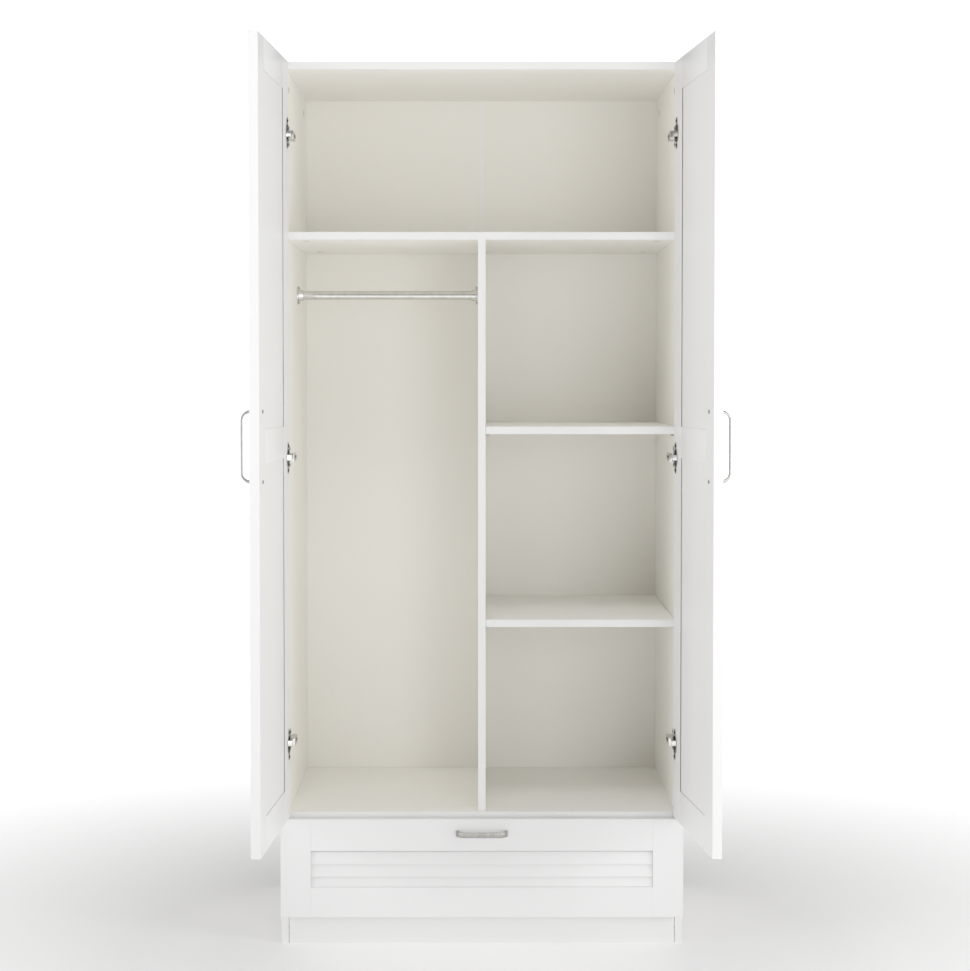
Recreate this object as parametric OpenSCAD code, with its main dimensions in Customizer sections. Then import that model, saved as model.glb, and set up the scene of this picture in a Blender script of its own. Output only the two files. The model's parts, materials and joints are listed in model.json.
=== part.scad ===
// Two-door wardrobe with louvred fronts, a full-width bottom drawer, a hanging space and shelves.
// Millimetres. X runs across the cabinet, Y from its front edges towards its back, Z up.
// The origin is on the floor, at the middle of the plinth's front edge.
// The doors are modelled standing open and the drawer closed.

/* [Cabinet] */
// Overall width of the cabinet
cabinet_w = 800; // [760:10:900]
// Overall height of the cabinet
cabinet_h = 1750; // [1730:5:1850]
// Depth of the side panels and the top
cabinet_d = 515; // [500:5:600]
// Thickness of the carcass boards
board_t = 15; // [15:1:18]
// Height of the plinth boards
plinth_h = 60; // [40:1:60]
// Top face of the floor of the main compartment
floor_z = 264; // [255:1:270]

/* [Shelves and rail] */
// Top face of the full-width shelf
upper_shelf_z = 1416; // [1380:1:1500]
// Top face of the higher shelf on the right
high_shelf_z = 1031; // [900:1:1100]
// Top face of the lower shelf on the right
low_shelf_z = 647; // [500:1:750]
// How far the shelves and the divider stand back from the front edges
shelf_setback = 8; // [5:1:20]
// Outer diameter of the hanging rail
rail_d = 18; // [16:1:22]
// Height of the hanging rail's centre line
rail_z = 1300; // [1200:1:1330]
// Depth of the hanging rail's centre line behind the front edges
rail_y = 255; // [200:1:300]

/* [Doors] */
// Thickness of the door and drawer-front frames
front_t = 18; // [16:1:20]
// Gap between the closed fronts and the carcass
front_gap = 3; // [2.5:0.1:3.5]
// Gap between the two closed doors
meeting_gap = 3; // [2:0.5:5]
// Lower edge of the doors
door_bottom_z = 255.5; // [255:0.5:258]
// Width of the door stiles
stile_w = 75; // [60:1:85]
// Height of the door's top rail
door_top_rail_h = 61; // [50:1:80]
// Height of the door's middle rail
door_mid_rail_h = 62; // [50:1:80]
// Height of the door's bottom rail
door_bottom_rail_h = 64; // [50:1:80]
// Height of the middle rail's centre, which is also the handles' centre
door_mid_z = 1002; // [950:1:1050]
// Opening angle of the left door as modelled
left_open = 93; // [0:0.1:100]
// Opening angle of the right door as modelled
right_open = 95.3; // [0:0.1:100]

/* [Louvres] */
// Vertical pitch of the louvre slats
slat_pitch = 25; // [20:0.5:35]
// Thickness of a slat at its lower, front edge
slat_foot_t = 8.5; // [6:0.5:8.5]
// Thickness of a slat at its upper, back edge
slat_head_t = 3.5; // [2:0.5:5]

/* [Drawer] */
// Lower edge of the drawer front
drawer_bottom_z = 57; // [50:1:60]
// Upper edge of the drawer front
drawer_top_z = 253; // [251:0.5:253]
// Width of the drawer front's stiles
drawer_stile_w = 60; // [50:1:75]
// Height of the drawer front's top rail
drawer_top_rail_h = 63; // [55:1:70]
// Height of the drawer front's bottom rail
drawer_bottom_rail_h = 60; // [50:1:70]
// Depth of the drawer box
drawer_box_d = 440; // [420:5:470]
// Height of the drawer box sides
drawer_box_h = 130; // [110:5:140]
// Thickness of the drawer box sides and back
drawer_side_t = 12; // [12:1:15]

/* [Handles] */
// Hole spacing of the door handles
door_handle_pitch = 128; // [96:32:160]
// Hole spacing of the drawer handle
drawer_handle_pitch = 96; // [96:32:160]
// How far a handle stands out from its front
handle_reach = 22; // [20:1:30]
// Width of the handle strip
handle_w = 11; // [8:0.5:14]
// Height of the drawer handle's centre
drawer_handle_z = 225; // [205:1:235]

/* [Hinges] */
// Heights of the three hinges on each door
hinge_heights = [403, 970, 1607]; // [360:1:1640]

/* [Hidden] */
$fn = 48;
LEFT = -1;
RIGHT = 1;
// Free play between parts that touch
slack = 0.1;
// How far a cut runs past the face it starts from, and how far joined blocks overlap
over = 1;

// Carcass
half_w = cabinet_w / 2;
inner_x = half_w - board_t;
inner_top_z = cabinet_h - board_t;
shelf_play = 0.5;
shelf_end_gap = 1;
back_t = 3;
back_edge = 8;
back_y = cabinet_d - back_edge;
back_foot_z = 10;
groove_depth = 5;
divider_x = board_t / 2;
strip_half_w = 7.5;
strip_flange_t = 1;
strip_web_t = 1.4;
inner_back_y = back_y - strip_flange_t - shelf_play;
plinth_end_gap = 1.2;
rear_plinth_y = inner_back_y - board_t - shelf_play;

// Cam-and-bolt fixings
cam_r = 7.4;
cam_depth = 12;
cam_reach = 34;
bolt_r = 3;
bolt_thread_r = 2.5;
bolt_thread_depth = 10;
bolt_neck = 3;
bolt_l = 4;
fixing_front_y = 60;
fixing_rear_y = 440;

// Shelf pins
pin_r = 2.5;
pin_in = 8;
pin_out = 7.5;
pin_front_y = 45;

// Hanging rail
tube_wall = 1;
socket_r = 18.75;
socket_t = 3;
collar_wall = 2.5;
collar_l = 10;
socket_screw_z = 15.2;

// Doors: a point of a door is given by its distance from the hinge edge and from the inner face
door_inset = 1.5;
door_edge_x = half_w - door_inset;
door_w = door_edge_x - meeting_gap / 2;
door_top_gap = 1;
door_top_z = cabinet_h - door_top_gap;
hinge_u = 7.6;
hinge_depth = 10;
hinge_x = door_edge_x - hinge_u;
hinge_y = -front_gap - hinge_depth;
free_u = door_w - stile_w;
top_rail_z = door_top_z - door_top_rail_h;
bottom_rail_z = door_bottom_z + door_bottom_rail_h;
mid_rail_low_z = door_mid_z - door_mid_rail_h / 2;
mid_rail_high_z = door_mid_z + door_mid_rail_h / 2;
handle_edge = 42.5;
handle_u = door_w - handle_edge;

// Panels let into the fronts; the groove leaves a thin lip and a shadow gap on the inner side
panel_recess = 2;
panel_lip = 1.3;
panel_t = 5.5;
panel_tongue = 6;
slat_head_gap = 3;
slat_gap = 0.6;

// Handles
handle_leg_t = 7;
handle_bar_t = 2.8;
handle_corner_r = 20;
handle_screw_r = 2;
handle_screw_in = 6;
handle_screw_head_r = 3.8;
handle_hole_r = handle_screw_r + slack / 2;

// Hinges
cup_u = 20.5;
cup_r = 17.5;
cup_depth = 13.5;
cup_wall = 0.7;
cup_in = cup_depth - slack - cup_wall;
flange_t = 1.2;
flange_r = 19;
flange_wing_w = 14;
flange_wing_z = 24;
flange_edge = 2;
hinge_pin_r = 1.1;
hinge_pin_l = 19.8;
knuckle_r = 2.1;
knuckle_l = 10;
link_reach = 13.5;
link_t = 1.6;
link_offset = 1;
link_in = 8;
arm_front_y = 1;
arm_back_y = 58;
arm_half_h = 8;
arm_wall = 1.2;
arm_top_x = inner_x - 13;
arm_foot_x = inner_x - 2.5;
plate_t = 1.5;
plate_ys = [22, 52];
plate_wing_half_y = 6;
plate_block_ys = [24, 52];
plate_block_half_z = 6.5;
plate_wing_half_z = 22;
plate_screw_z = 16;
plate_y = 37;
arm_screw_ys = [30, 46];

// Small screws
screw_r = 1.7;
screw_hole_r = screw_r + slack / 2;
screw_head_r = 3.3;
screw_head_t = 1.6;
screw_in = 10;
arm_screw_in = 8;

// Drawer
front_outer_y = -front_gap - front_t;
front_inner_y = -front_gap;
drawer_inset = 0.5;
drawer_x = half_w - drawer_inset;
runner_gap = 12.7;
box_x = inner_x - runner_gap;
box_back_y = front_inner_y + drawer_box_d;
box_z = 75;
drawer_bottom_t = 3;
drawer_floor_in = 10;
drawer_floor_z = box_z + drawer_floor_in;
drawer_top_rail_z = drawer_top_z - drawer_top_rail_h;
drawer_bottom_rail_z = drawer_bottom_z + drawer_bottom_rail_h;
drawer_inner_stile_x = drawer_x - drawer_stile_w;
drawer_screw_low = 28;
drawer_screw_high = 16;
drawer_screw_zs = [box_z + drawer_screw_low, box_z + drawer_box_h - drawer_screw_high];
drawer_screw_l = 30;

// Three-member ball-bearing runners
runner_z = 140;
runner_l = 400;
runner_y = 4;
runner_t = 1.2;
runner_screw_ys = [60, 300];
outer_half_h = 22.5;
middle_half_h = 20;
inner_half_h = 17.4;
outer_depth = 8.5;
middle_web = 3.3;
middle_depth = 7.2;
inner_depth = 6.5;

board_white = [0.93, 0.93, 0.91];
paint_white = [0.95, 0.95, 0.94];
back_white = [0.9, 0.9, 0.87];
plastic_white = [0.92, 0.92, 0.9];
nickel = [0.75, 0.74, 0.72];
chrome_grey = [0.82, 0.82, 0.84];
zinc = [0.62, 0.63, 0.64];

// A block between two limits on each axis
module block(x, y, z) {
    translate([x[0], y[0], z[0]])
        cube([x[1] - x[0], y[1] - y[0], z[1] - z[0]]);
}

// Draws its children on one side of the cabinet; they are written for the left side
module on_side(side) {
    if (side == LEFT)
        children();
    else
        mirror([1, 0, 0])
            children();
}

// A cylinder along X that starts at x and runs for length l
module bar_x(r, x, l, y, z) {
    translate([x, y, z])
        rotate([0, 90, 0])
            cylinder(r = r, h = l);
}

// ---- Cam-and-bolt fixings ----
// Each is [point on the joint, rotation]: local +X runs into the board that holds the cam,
// and local +Z points out of the face that the cam is let into.

function side_pair(z, into_rot_left, into_rot_right) = [
    for (y = [fixing_front_y, fixing_rear_y], side = [LEFT, RIGHT])
        [[side * inner_x, y, z], side == LEFT ? into_rot_left : into_rot_right]
];

top_fixings = [
    for (y = [fixing_front_y, fixing_rear_y], side = [LEFT, RIGHT])
        [[side * (half_w - board_t / 2), y, inner_top_z], side == LEFT ? [0, 90, 0] : [180, 90, 0]]
];
shelf_fixings = side_pair(upper_shelf_z - board_t / 2, [180, 0, 0], [0, 180, 0]);
floor_fixings = side_pair(floor_z - board_t / 2, [180, 0, 0], [0, 180, 0]);
divider_head_fixings = [
    for (y = [fixing_front_y, fixing_rear_y])
        [[0, y, upper_shelf_z - board_t], [0, 90, 0]]
];
divider_foot_fixings = [
    for (y = [fixing_front_y, fixing_rear_y])
        [[0, y, floor_z], [180, -90, 0]]
];
front_plinth_fixings = [
    [[-inner_x, board_t / 2, plinth_h / 2], [-90, 0, 0]],
    [[inner_x, board_t / 2, plinth_h / 2], [90, 0, 180]]
];
rear_plinth_fixings = [
    [[-inner_x, rear_plinth_y + board_t / 2, plinth_h / 2], [90, 0, 0]],
    [[inner_x, rear_plinth_y + board_t / 2, plinth_h / 2], [-90, 0, 180]]
];
fixings = concat(top_fixings, shelf_fixings, floor_fixings, divider_head_fixings,
                 divider_foot_fixings, front_plinth_fixings, rear_plinth_fixings);

module cam_lock() {
    difference() {
        translate([cam_reach, 0, board_t / 2 - cam_depth])
            cylinder(r = cam_r, h = cam_depth);
        bar_x(bolt_r + slack, 0, cam_reach + bolt_l, 0, 0);
    }
}

module cam_bolt() {
    bar_x(bolt_thread_r, -bolt_thread_depth, bolt_thread_depth + bolt_neck, 0, 0);
    bar_x(bolt_r, bolt_neck - over, cam_reach + bolt_l - bolt_neck, 0, 0);
}

// Everything that a fixing removes from its two boards
module fixing_cut() {
    translate([cam_reach, 0, board_t / 2 - cam_depth - slack])
        cylinder(r = cam_r + slack, h = cam_depth + 2 * slack);
    bar_x(bolt_r + slack, 0, cam_reach, 0, 0);
    bar_x(bolt_thread_r + slack / 2, -bolt_thread_depth - slack, bolt_thread_depth + 2 * slack, 0, 0);
}

module cut_fixings(list) {
    for (f = list)
        translate(f[0])
            rotate(f[1])
                fixing_cut();
}

// ---- Carcass boards ----

// The groove that the back boards stand in
module back_groove() {
    block([-inner_x - groove_depth - slack, inner_x + groove_depth + slack],
          [back_y - 2 * slack, back_y + back_t + 2 * slack],
          [-over, inner_top_z + groove_depth + slack]);
}

module side_panel(side) {
    color(board_white)
        difference() {
            on_side(side)
                difference() {
                    block([-half_w, -inner_x], [0, cabinet_d], [0, inner_top_z]);
                    for (z = hinge_heights, dz = [-plate_screw_z, plate_screw_z])
                        bar_x(screw_hole_r, -inner_x - screw_in, screw_in + over, plate_y, z + dz);
                    for (y = runner_screw_ys)
                        bar_x(screw_hole_r, -inner_x - screw_in, screw_in + over, y, runner_z);
                }
            back_groove();
            cut_fixings([for (f = concat(top_fixings, shelf_fixings, floor_fixings,
                                         front_plinth_fixings, rear_plinth_fixings))
                             if (f[0][0] * side > 0) f]);
            if (side == LEFT)
                rail_screw_holes();
            else
                shelf_pin_holes();
        }
}

module left_side_panel() { side_panel(LEFT); }
module right_side_panel() { side_panel(RIGHT); }

module top_panel() {
    color(board_white)
        difference() {
            block([-half_w, half_w], [0, cabinet_d], [inner_top_z, cabinet_h]);
            back_groove();
            cut_fixings(top_fixings);
        }
}

module upper_shelf() {
    color(board_white)
        difference() {
            block([-inner_x, inner_x], [shelf_setback, inner_back_y],
                  [upper_shelf_z - board_t, upper_shelf_z]);
            cut_fixings(concat(shelf_fixings, divider_head_fixings));
        }
}

module centre_divider() {
    color(board_white)
        difference() {
            block([-divider_x, divider_x], [shelf_setback, inner_back_y],
                  [floor_z, upper_shelf_z - board_t]);
            cut_fixings(concat(divider_head_fixings, divider_foot_fixings));
            rail_screw_holes();
            shelf_pin_holes();
        }
}

module bottom_panel() {
    color(board_white)
        difference() {
            block([-inner_x, inner_x], [0, inner_back_y], [floor_z - board_t, floor_z]);
            cut_fixings(concat(floor_fixings, divider_foot_fixings));
        }
}

module loose_shelf(top_z) {
    color(board_white)
        block([divider_x + shelf_end_gap, inner_x - shelf_end_gap],
              [shelf_setback, inner_back_y], [top_z - board_t, top_z]);
}

module right_high_shelf() { loose_shelf(high_shelf_z); }
module right_low_shelf() { loose_shelf(low_shelf_z); }

module back_board(side) {
    color(back_white)
        on_side(side)
            block([-inner_x - groove_depth, -strip_web_t / 2 - slack], [back_y, back_y + back_t],
                  [back_foot_z, inner_top_z + groove_depth]);
}

module left_back_board() { back_board(LEFT); }
module right_back_board() { back_board(RIGHT); }

// H-section strip that joins the two back boards
module back_joining_strip() {
    strip_z = [back_foot_z, inner_top_z - shelf_play];
    color(plastic_white) {
        block([-strip_half_w, strip_half_w], [back_y - strip_flange_t - slack, back_y - slack], strip_z);
        block([-strip_web_t / 2, strip_web_t / 2],
              [back_y - strip_flange_t / 2, back_y + back_t + strip_flange_t / 2], strip_z);
        block([-strip_half_w, strip_half_w],
              [back_y + back_t + slack, back_y + back_t + slack + strip_flange_t], strip_z);
    }
}

module plinth(y, list) {
    color(board_white)
        difference() {
            block([plinth_end_gap - inner_x, inner_x - plinth_end_gap], [y, y + board_t], [0, plinth_h]);
            cut_fixings(list);
        }
}

module front_plinth() { plinth(0, front_plinth_fixings); }
module rear_plinth() { plinth(rear_plinth_y, rear_plinth_fixings); }

// ---- Fittings inside the cabinet ----

module cam_locks() {
    color(zinc)
        for (f = fixings)
            translate(f[0])
                rotate(f[1])
                    cam_lock();
}

module cam_bolts() {
    color(zinc)
        for (f = fixings)
            translate(f[0])
                rotate(f[1])
                    cam_bolt();
}

module hanging_rail() {
    rail_x = [-inner_x + socket_t + slack, -divider_x - socket_t - slack];
    color(chrome_grey)
        difference() {
            bar_x(rail_d / 2, rail_x[0], rail_x[1] - rail_x[0], rail_y, rail_z);
            bar_x(rail_d / 2 - tube_wall, rail_x[0] - over, rail_x[1] - rail_x[0] + 2 * over, rail_y, rail_z);
        }
}

// A round flange with a collar, standing on a wall that faces +X
module rail_socket() {
    difference() {
        union() {
            bar_x(socket_r, 0, socket_t, 0, 0);
            bar_x(rail_d / 2 + collar_wall, 0, socket_t + collar_l, 0, 0);
        }
        bar_x(rail_d / 2 + slack, socket_t, collar_l + over, 0, 0);
        for (z = [-socket_screw_z, socket_screw_z])
            bar_x(screw_hole_r, -over, socket_t + 2 * over, 0, z);
    }
}

module rail_sockets() {
    color(chrome_grey) {
        translate([-inner_x, rail_y, rail_z])
            rail_socket();
        translate([-divider_x, rail_y, rail_z])
            mirror([1, 0, 0])
                rail_socket();
    }
}

module rail_screw_holes() {
    for (z = [rail_z - socket_screw_z, rail_z + socket_screw_z]) {
        bar_x(screw_hole_r, -inner_x - screw_in, screw_in + over, rail_y, z);
        bar_x(screw_hole_r, -divider_x - over, screw_in + over, rail_y, z);
    }
}

// Centres of the shelf pins; each is [x of the wall, direction into the compartment, y, z]
shelf_pins_at = [
    for (top = [high_shelf_z, low_shelf_z], y = [pin_front_y, fixing_rear_y])
        each [[divider_x, 1, y, top - board_t - pin_r], [inner_x, -1, y, top - board_t - pin_r]]
];

module shelf_pins() {
    color(nickel)
        for (p = shelf_pins_at)
            translate([p[0], p[2], p[3]])
                rotate([0, 90 * p[1], 0])
                    translate([0, 0, -pin_in])
                        cylinder(r = pin_r, h = pin_in + pin_out);
}

module shelf_pin_holes() {
    for (p = shelf_pins_at)
        translate([p[0], p[2], p[3]])
            rotate([0, -90 * p[1], 0])
                translate([0, 0, -over])
                    cylinder(r = pin_r + slack / 2, h = pin_in + over + slack);
}

// ---- Hinges: cabinet half, written for the left side at height 0 ----

module hinge_plate() {
    difference() {
        union() {
            block([-inner_x, -inner_x + plate_t], plate_ys, [-arm_half_h, arm_half_h]);
            block([-inner_x, -inner_x + plate_t], [plate_y - plate_wing_half_y, plate_y + plate_wing_half_y],
                  [-plate_wing_half_z, plate_wing_half_z]);
            block([-inner_x + over, -arm_top_x - arm_wall], plate_block_ys,
                  [-plate_block_half_z, plate_block_half_z]);
        }
        for (z = [-plate_screw_z, plate_screw_z])
            bar_x(screw_hole_r, -inner_x - over, plate_t + 2 * over, plate_y, z);
        for (y = arm_screw_ys)
            bar_x(screw_hole_r, -arm_top_x - arm_wall - screw_in + over, screw_in, y, 0);
    }
}

// Channel-shaped arm; its link reaches round to the knuckle on the hinge pin
module hinge_arm() {
    link_y = [hinge_y - link_offset - link_t / 2, hinge_y - link_offset + link_t / 2];
    leg_x = [link_reach - hinge_x - link_t / 2, link_reach - hinge_x + link_t / 2];
    inner_half_z = arm_half_h - arm_wall;
    difference() {
        union() {
            translate([-hinge_x, hinge_y, -knuckle_l / 2])
                cylinder(r = knuckle_r, h = knuckle_l);
            block([-hinge_x, leg_x[1]], link_y, [-knuckle_l / 2, knuckle_l / 2]);
            block(leg_x, [link_y[0], arm_front_y + link_in], [-knuckle_l / 2, knuckle_l / 2]);
            block(leg_x, [arm_front_y, arm_front_y + link_in], [-inner_half_z, inner_half_z]);
            difference() {
                block([-arm_foot_x, -arm_top_x], [arm_front_y, arm_back_y], [-arm_half_h, arm_half_h]);
                block([-arm_foot_x - over, -arm_top_x - arm_wall],
                      [arm_front_y + arm_wall, arm_back_y + over],
                      [-inner_half_z, inner_half_z]);
            }
        }
        translate([-hinge_x, hinge_y, -knuckle_l])
            cylinder(r = hinge_pin_r + slack / 2, h = 2 * knuckle_l);
        for (y = arm_screw_ys)
            bar_x(screw_hole_r, -arm_top_x - arm_wall - over, arm_wall + 2 * over, y, 0);
    }
}

// Draws its children at each hinge height on both sides
module at_hinges() {
    for (side = [LEFT, RIGHT], z = hinge_heights)
        on_side(side)
            translate([0, 0, z])
                children();
}

module hinge_plates() {
    color(nickel)
        at_hinges()
            hinge_plate();
}

module hinge_arms() {
    color(nickel)
        at_hinges()
            hinge_arm();
}

// A screw along X with its head's underside at x; it runs towards -X
module screw(x, y, z, length) {
    bar_x(screw_head_r, x, screw_head_t, y, z);
    bar_x(screw_r, x - length, length + screw_head_t / 2, y, z);
}

module cabinet_screws() {
    color(nickel) {
        at_hinges() {
            for (z = [-plate_screw_z, plate_screw_z])
                screw(-inner_x + plate_t, plate_y, z, screw_in);
            for (y = arm_screw_ys)
                screw(-arm_top_x, y, 0, arm_screw_in);
        }
        for (side = [LEFT, RIGHT], y = runner_screw_ys)
            on_side(side)
                screw(-inner_x + runner_t, y, runner_z, screw_in);
        for (z = [rail_z - socket_screw_z, rail_z + socket_screw_z]) {
            screw(-inner_x + socket_t, rail_y, z, screw_in);
            mirror([1, 0, 0])
                screw(divider_x + socket_t, rail_y, z, screw_in);
        }
    }
}

// ---- Drawer runners, written for the left side ----

// A channel with its web at web_x and its flanges reaching to flange_x
module runner_channel(web_x, flange_x, half_h) {
    y = [runner_y, runner_y + runner_l];
    toward = flange_x > web_x ? 1 : -1;
    web = [min(web_x, web_x + toward * runner_t), max(web_x, web_x + toward * runner_t)];
    flange = [min(web_x, flange_x), max(web_x, flange_x)];
    block(web, y, [runner_z - half_h, runner_z + half_h]);
    block(flange, y, [runner_z - half_h, runner_z - half_h + runner_t]);
    block(flange, y, [runner_z + half_h - runner_t, runner_z + half_h]);
}

module cabinet_runner_members() {
    color(zinc)
        for (side = [LEFT, RIGHT])
            on_side(side)
                difference() {
                    runner_channel(-inner_x, -inner_x + outer_depth, outer_half_h);
                    for (y = runner_screw_ys)
                        bar_x(screw_hole_r, -inner_x - over, runner_t + 2 * over, y, runner_z);
                }
}

module middle_runner_members() {
    color(zinc)
        for (side = [LEFT, RIGHT])
            on_side(side)
                runner_channel(-inner_x + middle_web, -inner_x + middle_web + middle_depth, middle_half_h);
}

module drawer_runner_members() {
    color(zinc)
        for (side = [LEFT, RIGHT])
            on_side(side)
                runner_channel(-box_x, -box_x - inner_depth, inner_half_h);
}

// ---- Framed fronts ----

// A block that fills an opening and runs past it by a tongue all round
module framed_panel(x, z, y, tongue) {
    block([x[0] - tongue, x[1] + tongue], y, [z[0] - tongue, z[1] + tongue]);
}

// Louvre slats that fill an opening from the top down; the lowest one is cut to fit
module louvres(x, z, back_y) {
    count = ceil((z[1] - z[0] - slat_head_gap) / slat_pitch);
    for (i = [0 : count - 1]) {
        head_z = z[1] - slat_head_gap - i * slat_pitch;
        foot_z = max(z[0] + slack, head_z - slat_pitch + slat_gap);
        taper = (head_z - foot_z) / slat_pitch;
        foot_t = slat_head_t + (slat_foot_t - slat_head_t) * taper;
        translate([x[0], 0, 0])
            rotate([90, 0, 90])
                linear_extrude(x[1] - x[0])
                    polygon([[back_y, foot_z], [back_y, head_z],
                             [back_y - slat_head_t, head_z], [back_y - foot_t, foot_z]]);
    }
}

// Outline of a bow handle seen from its side: along X, standing out to +Y from the line y = 0
module bow_outline(half_l, reach, r) {
    intersection() {
        translate([-half_l, 0])
            square([2 * half_l, reach]);
        union() {
            translate([-half_l, 0])
                square([2 * half_l, reach - r]);
            translate([r - half_l, 0])
                square([2 * (half_l - r), reach]);
            for (s = [-1, 1])
                translate([s * (half_l - r), reach - r])
                    circle(r = r, $fn = 96);
        }
    }
}

// A bow handle along Z, standing out to -Y from the plane y = 0
module bow_handle(pitch) {
    half_l = (pitch + handle_leg_t) / 2;
    inner_half_l = (pitch - handle_leg_t) / 2;
    inner_r = handle_corner_r - handle_leg_t;
    difference() {
        translate([-handle_w / 2, 0, 0])
            rotate([90, 90, 90])
                linear_extrude(handle_w)
                    mirror([0, 1, 0])
                        difference() {
                            bow_outline(half_l, handle_reach, handle_corner_r);
                            translate([0, -slack])
                                bow_outline(inner_half_l, handle_reach - handle_bar_t + slack, inner_r);
                        }
        for (s = [-1, 1])
            translate([0, over, s * pitch / 2])
                rotate([90, 0, 0])
                    cylinder(r = handle_hole_r, h = handle_screw_in + over + slack);
    }
}

// A handle screw along Y with its head on the plane y = 0, running towards -Y
module handle_screw(length) {
    rotate([90, 0, 0])
        cylinder(r = handle_screw_r, h = length);
    translate([0, screw_head_t, 0])
        rotate([90, 0, 0])
            cylinder(r = handle_screw_head_r, h = screw_head_t);
}

module handle_screw_hole() {
    translate([0, over, 0])
        rotate([90, 0, 0])
            cylinder(r = handle_hole_r, h = front_t + 2 * over);
}

// ---- Doors ----

// Hangs a closed left door, drawn from its hinge edge at x = 0 and its inner face at y = 0
module hung(side) {
    open = side == LEFT ? left_open : right_open;
    on_side(side)
        translate([-hinge_x, hinge_y, 0])
            rotate([0, 0, -open])
                translate([-hinge_u, hinge_depth, 0])
                    children();
}

door_panel_y = [-panel_recess - panel_t, -panel_recess];
door_slot_y = [door_panel_y[0] - slack, -panel_lip];
upper_opening_z = [mid_rail_high_z, top_rail_z];
lower_opening_z = [bottom_rail_z, mid_rail_low_z];

module door_panel_slots() {
    for (z = [upper_opening_z, lower_opening_z])
        framed_panel([stile_w, free_u], z, door_slot_y, panel_tongue + slack);
}

module door_hinge_stile(side) {
    color(paint_white)
        hung(side)
            difference() {
                block([0, stile_w], [-front_t, 0], [door_bottom_z, door_top_z]);
                door_panel_slots();
                for (z = hinge_heights)
                    translate([cup_u, 0, z])
                        rotate([90, 0, 0])
                            cylinder(r = cup_r, h = cup_depth);
                for (z = hinge_heights, dz = [-flange_wing_z, flange_wing_z])
                    translate([cup_u, over, z + dz])
                        rotate([90, 0, 0])
                            cylinder(r = screw_hole_r, h = screw_in + over);
            }
}

module door_free_stile(side) {
    color(paint_white)
        hung(side)
            difference() {
                block([free_u, door_w], [-front_t, 0], [door_bottom_z, door_top_z]);
                door_panel_slots();
                for (s = [-1, 1])
                    translate([handle_u, 0, door_mid_z + s * door_handle_pitch / 2])
                        handle_screw_hole();
            }
}

module door_rail(side, z) {
    color(paint_white)
        hung(side)
            difference() {
                block([stile_w, free_u], [-front_t, 0], z);
                door_panel_slots();
            }
}

module door_panel(side, z) {
    color(paint_white)
        hung(side)
            framed_panel([stile_w, free_u], z, door_panel_y, panel_tongue);
}

module door_slats(side) {
    color(paint_white)
        hung(side)
            for (z = [upper_opening_z, lower_opening_z])
                louvres([stile_w + slack, free_u - slack], z, door_panel_y[0] - slack);
}

module door_handle(side) {
    color(nickel)
        hung(side)
            translate([handle_u, -front_t, door_mid_z])
                bow_handle(door_handle_pitch);
}

module door_screws(side) {
    color(nickel)
        hung(side) {
            for (s = [-1, 1])
                translate([handle_u, 0, door_mid_z + s * door_handle_pitch / 2])
                    handle_screw(front_t + handle_screw_in);
            for (z = hinge_heights, dz = [-flange_wing_z, flange_wing_z])
                translate([cup_u, flange_t, z + dz])
                    rotate([0, 0, 90])
                        screw(0, 0, 0, screw_in);
        }
}

module hinge_cup() {
    difference() {
        union() {
            rotate([90, 0, 0])
                cylinder(r = cup_r - slack / 2, h = cup_depth - slack);
            translate([0, flange_t, 0])
                rotate([90, 0, 0])
                    intersection() {
                        union() {
                            cylinder(r = flange_r, h = flange_t);
                            translate([-flange_wing_w / 2, -flange_wing_z, 0])
                                cube([flange_wing_w, 2 * flange_wing_z, flange_t]);
                            for (s = [-1, 1])
                                translate([0, s * flange_wing_z, 0])
                                    cylinder(r = flange_wing_w / 2, h = flange_t);
                        }
                        translate([flange_edge - cup_u, -2 * flange_wing_z, 0])
                            cube([2 * cup_u, 4 * flange_wing_z, flange_t]);
                    }
        }
        translate([0, flange_t + over, 0])
            rotate([90, 0, 0])
                cylinder(r = cup_r - cup_wall, h = flange_t + over + cup_in);
        for (s = [-1, 1])
            translate([0, flange_t + over, s * flange_wing_z])
                rotate([90, 0, 0])
                    cylinder(r = screw_hole_r, h = flange_t + 2 * over);
        translate([hinge_u - cup_u, -hinge_depth, -hinge_pin_l / 2 - slack])
            cylinder(r = hinge_pin_r + slack / 5, h = hinge_pin_l + 2 * slack);
    }
}

module hinge_cups(side) {
    color(nickel)
        hung(side)
            for (z = hinge_heights)
                translate([cup_u, 0, z])
                    hinge_cup();
}

module hinge_pins(side) {
    color(zinc)
        hung(side)
            for (z = hinge_heights)
                translate([hinge_u, -hinge_depth, z - hinge_pin_l / 2])
                    cylinder(r = hinge_pin_r, h = hinge_pin_l);
}

module left_door_hinge_stile() { door_hinge_stile(LEFT); }
module left_door_free_stile() { door_free_stile(LEFT); }
module left_door_top_rail() { door_rail(LEFT, [top_rail_z, door_top_z]); }
module left_door_middle_rail() { door_rail(LEFT, [mid_rail_low_z, mid_rail_high_z]); }
module left_door_bottom_rail() { door_rail(LEFT, [door_bottom_z, bottom_rail_z]); }
module left_door_upper_panel() { door_panel(LEFT, upper_opening_z); }
module left_door_lower_panel() { door_panel(LEFT, lower_opening_z); }
module left_door_slats() { door_slats(LEFT); }
module left_door_handle() { door_handle(LEFT); }
module left_door_screws() { door_screws(LEFT); }
module left_hinge_cups() { hinge_cups(LEFT); }
module left_hinge_pins() { hinge_pins(LEFT); }

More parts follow.
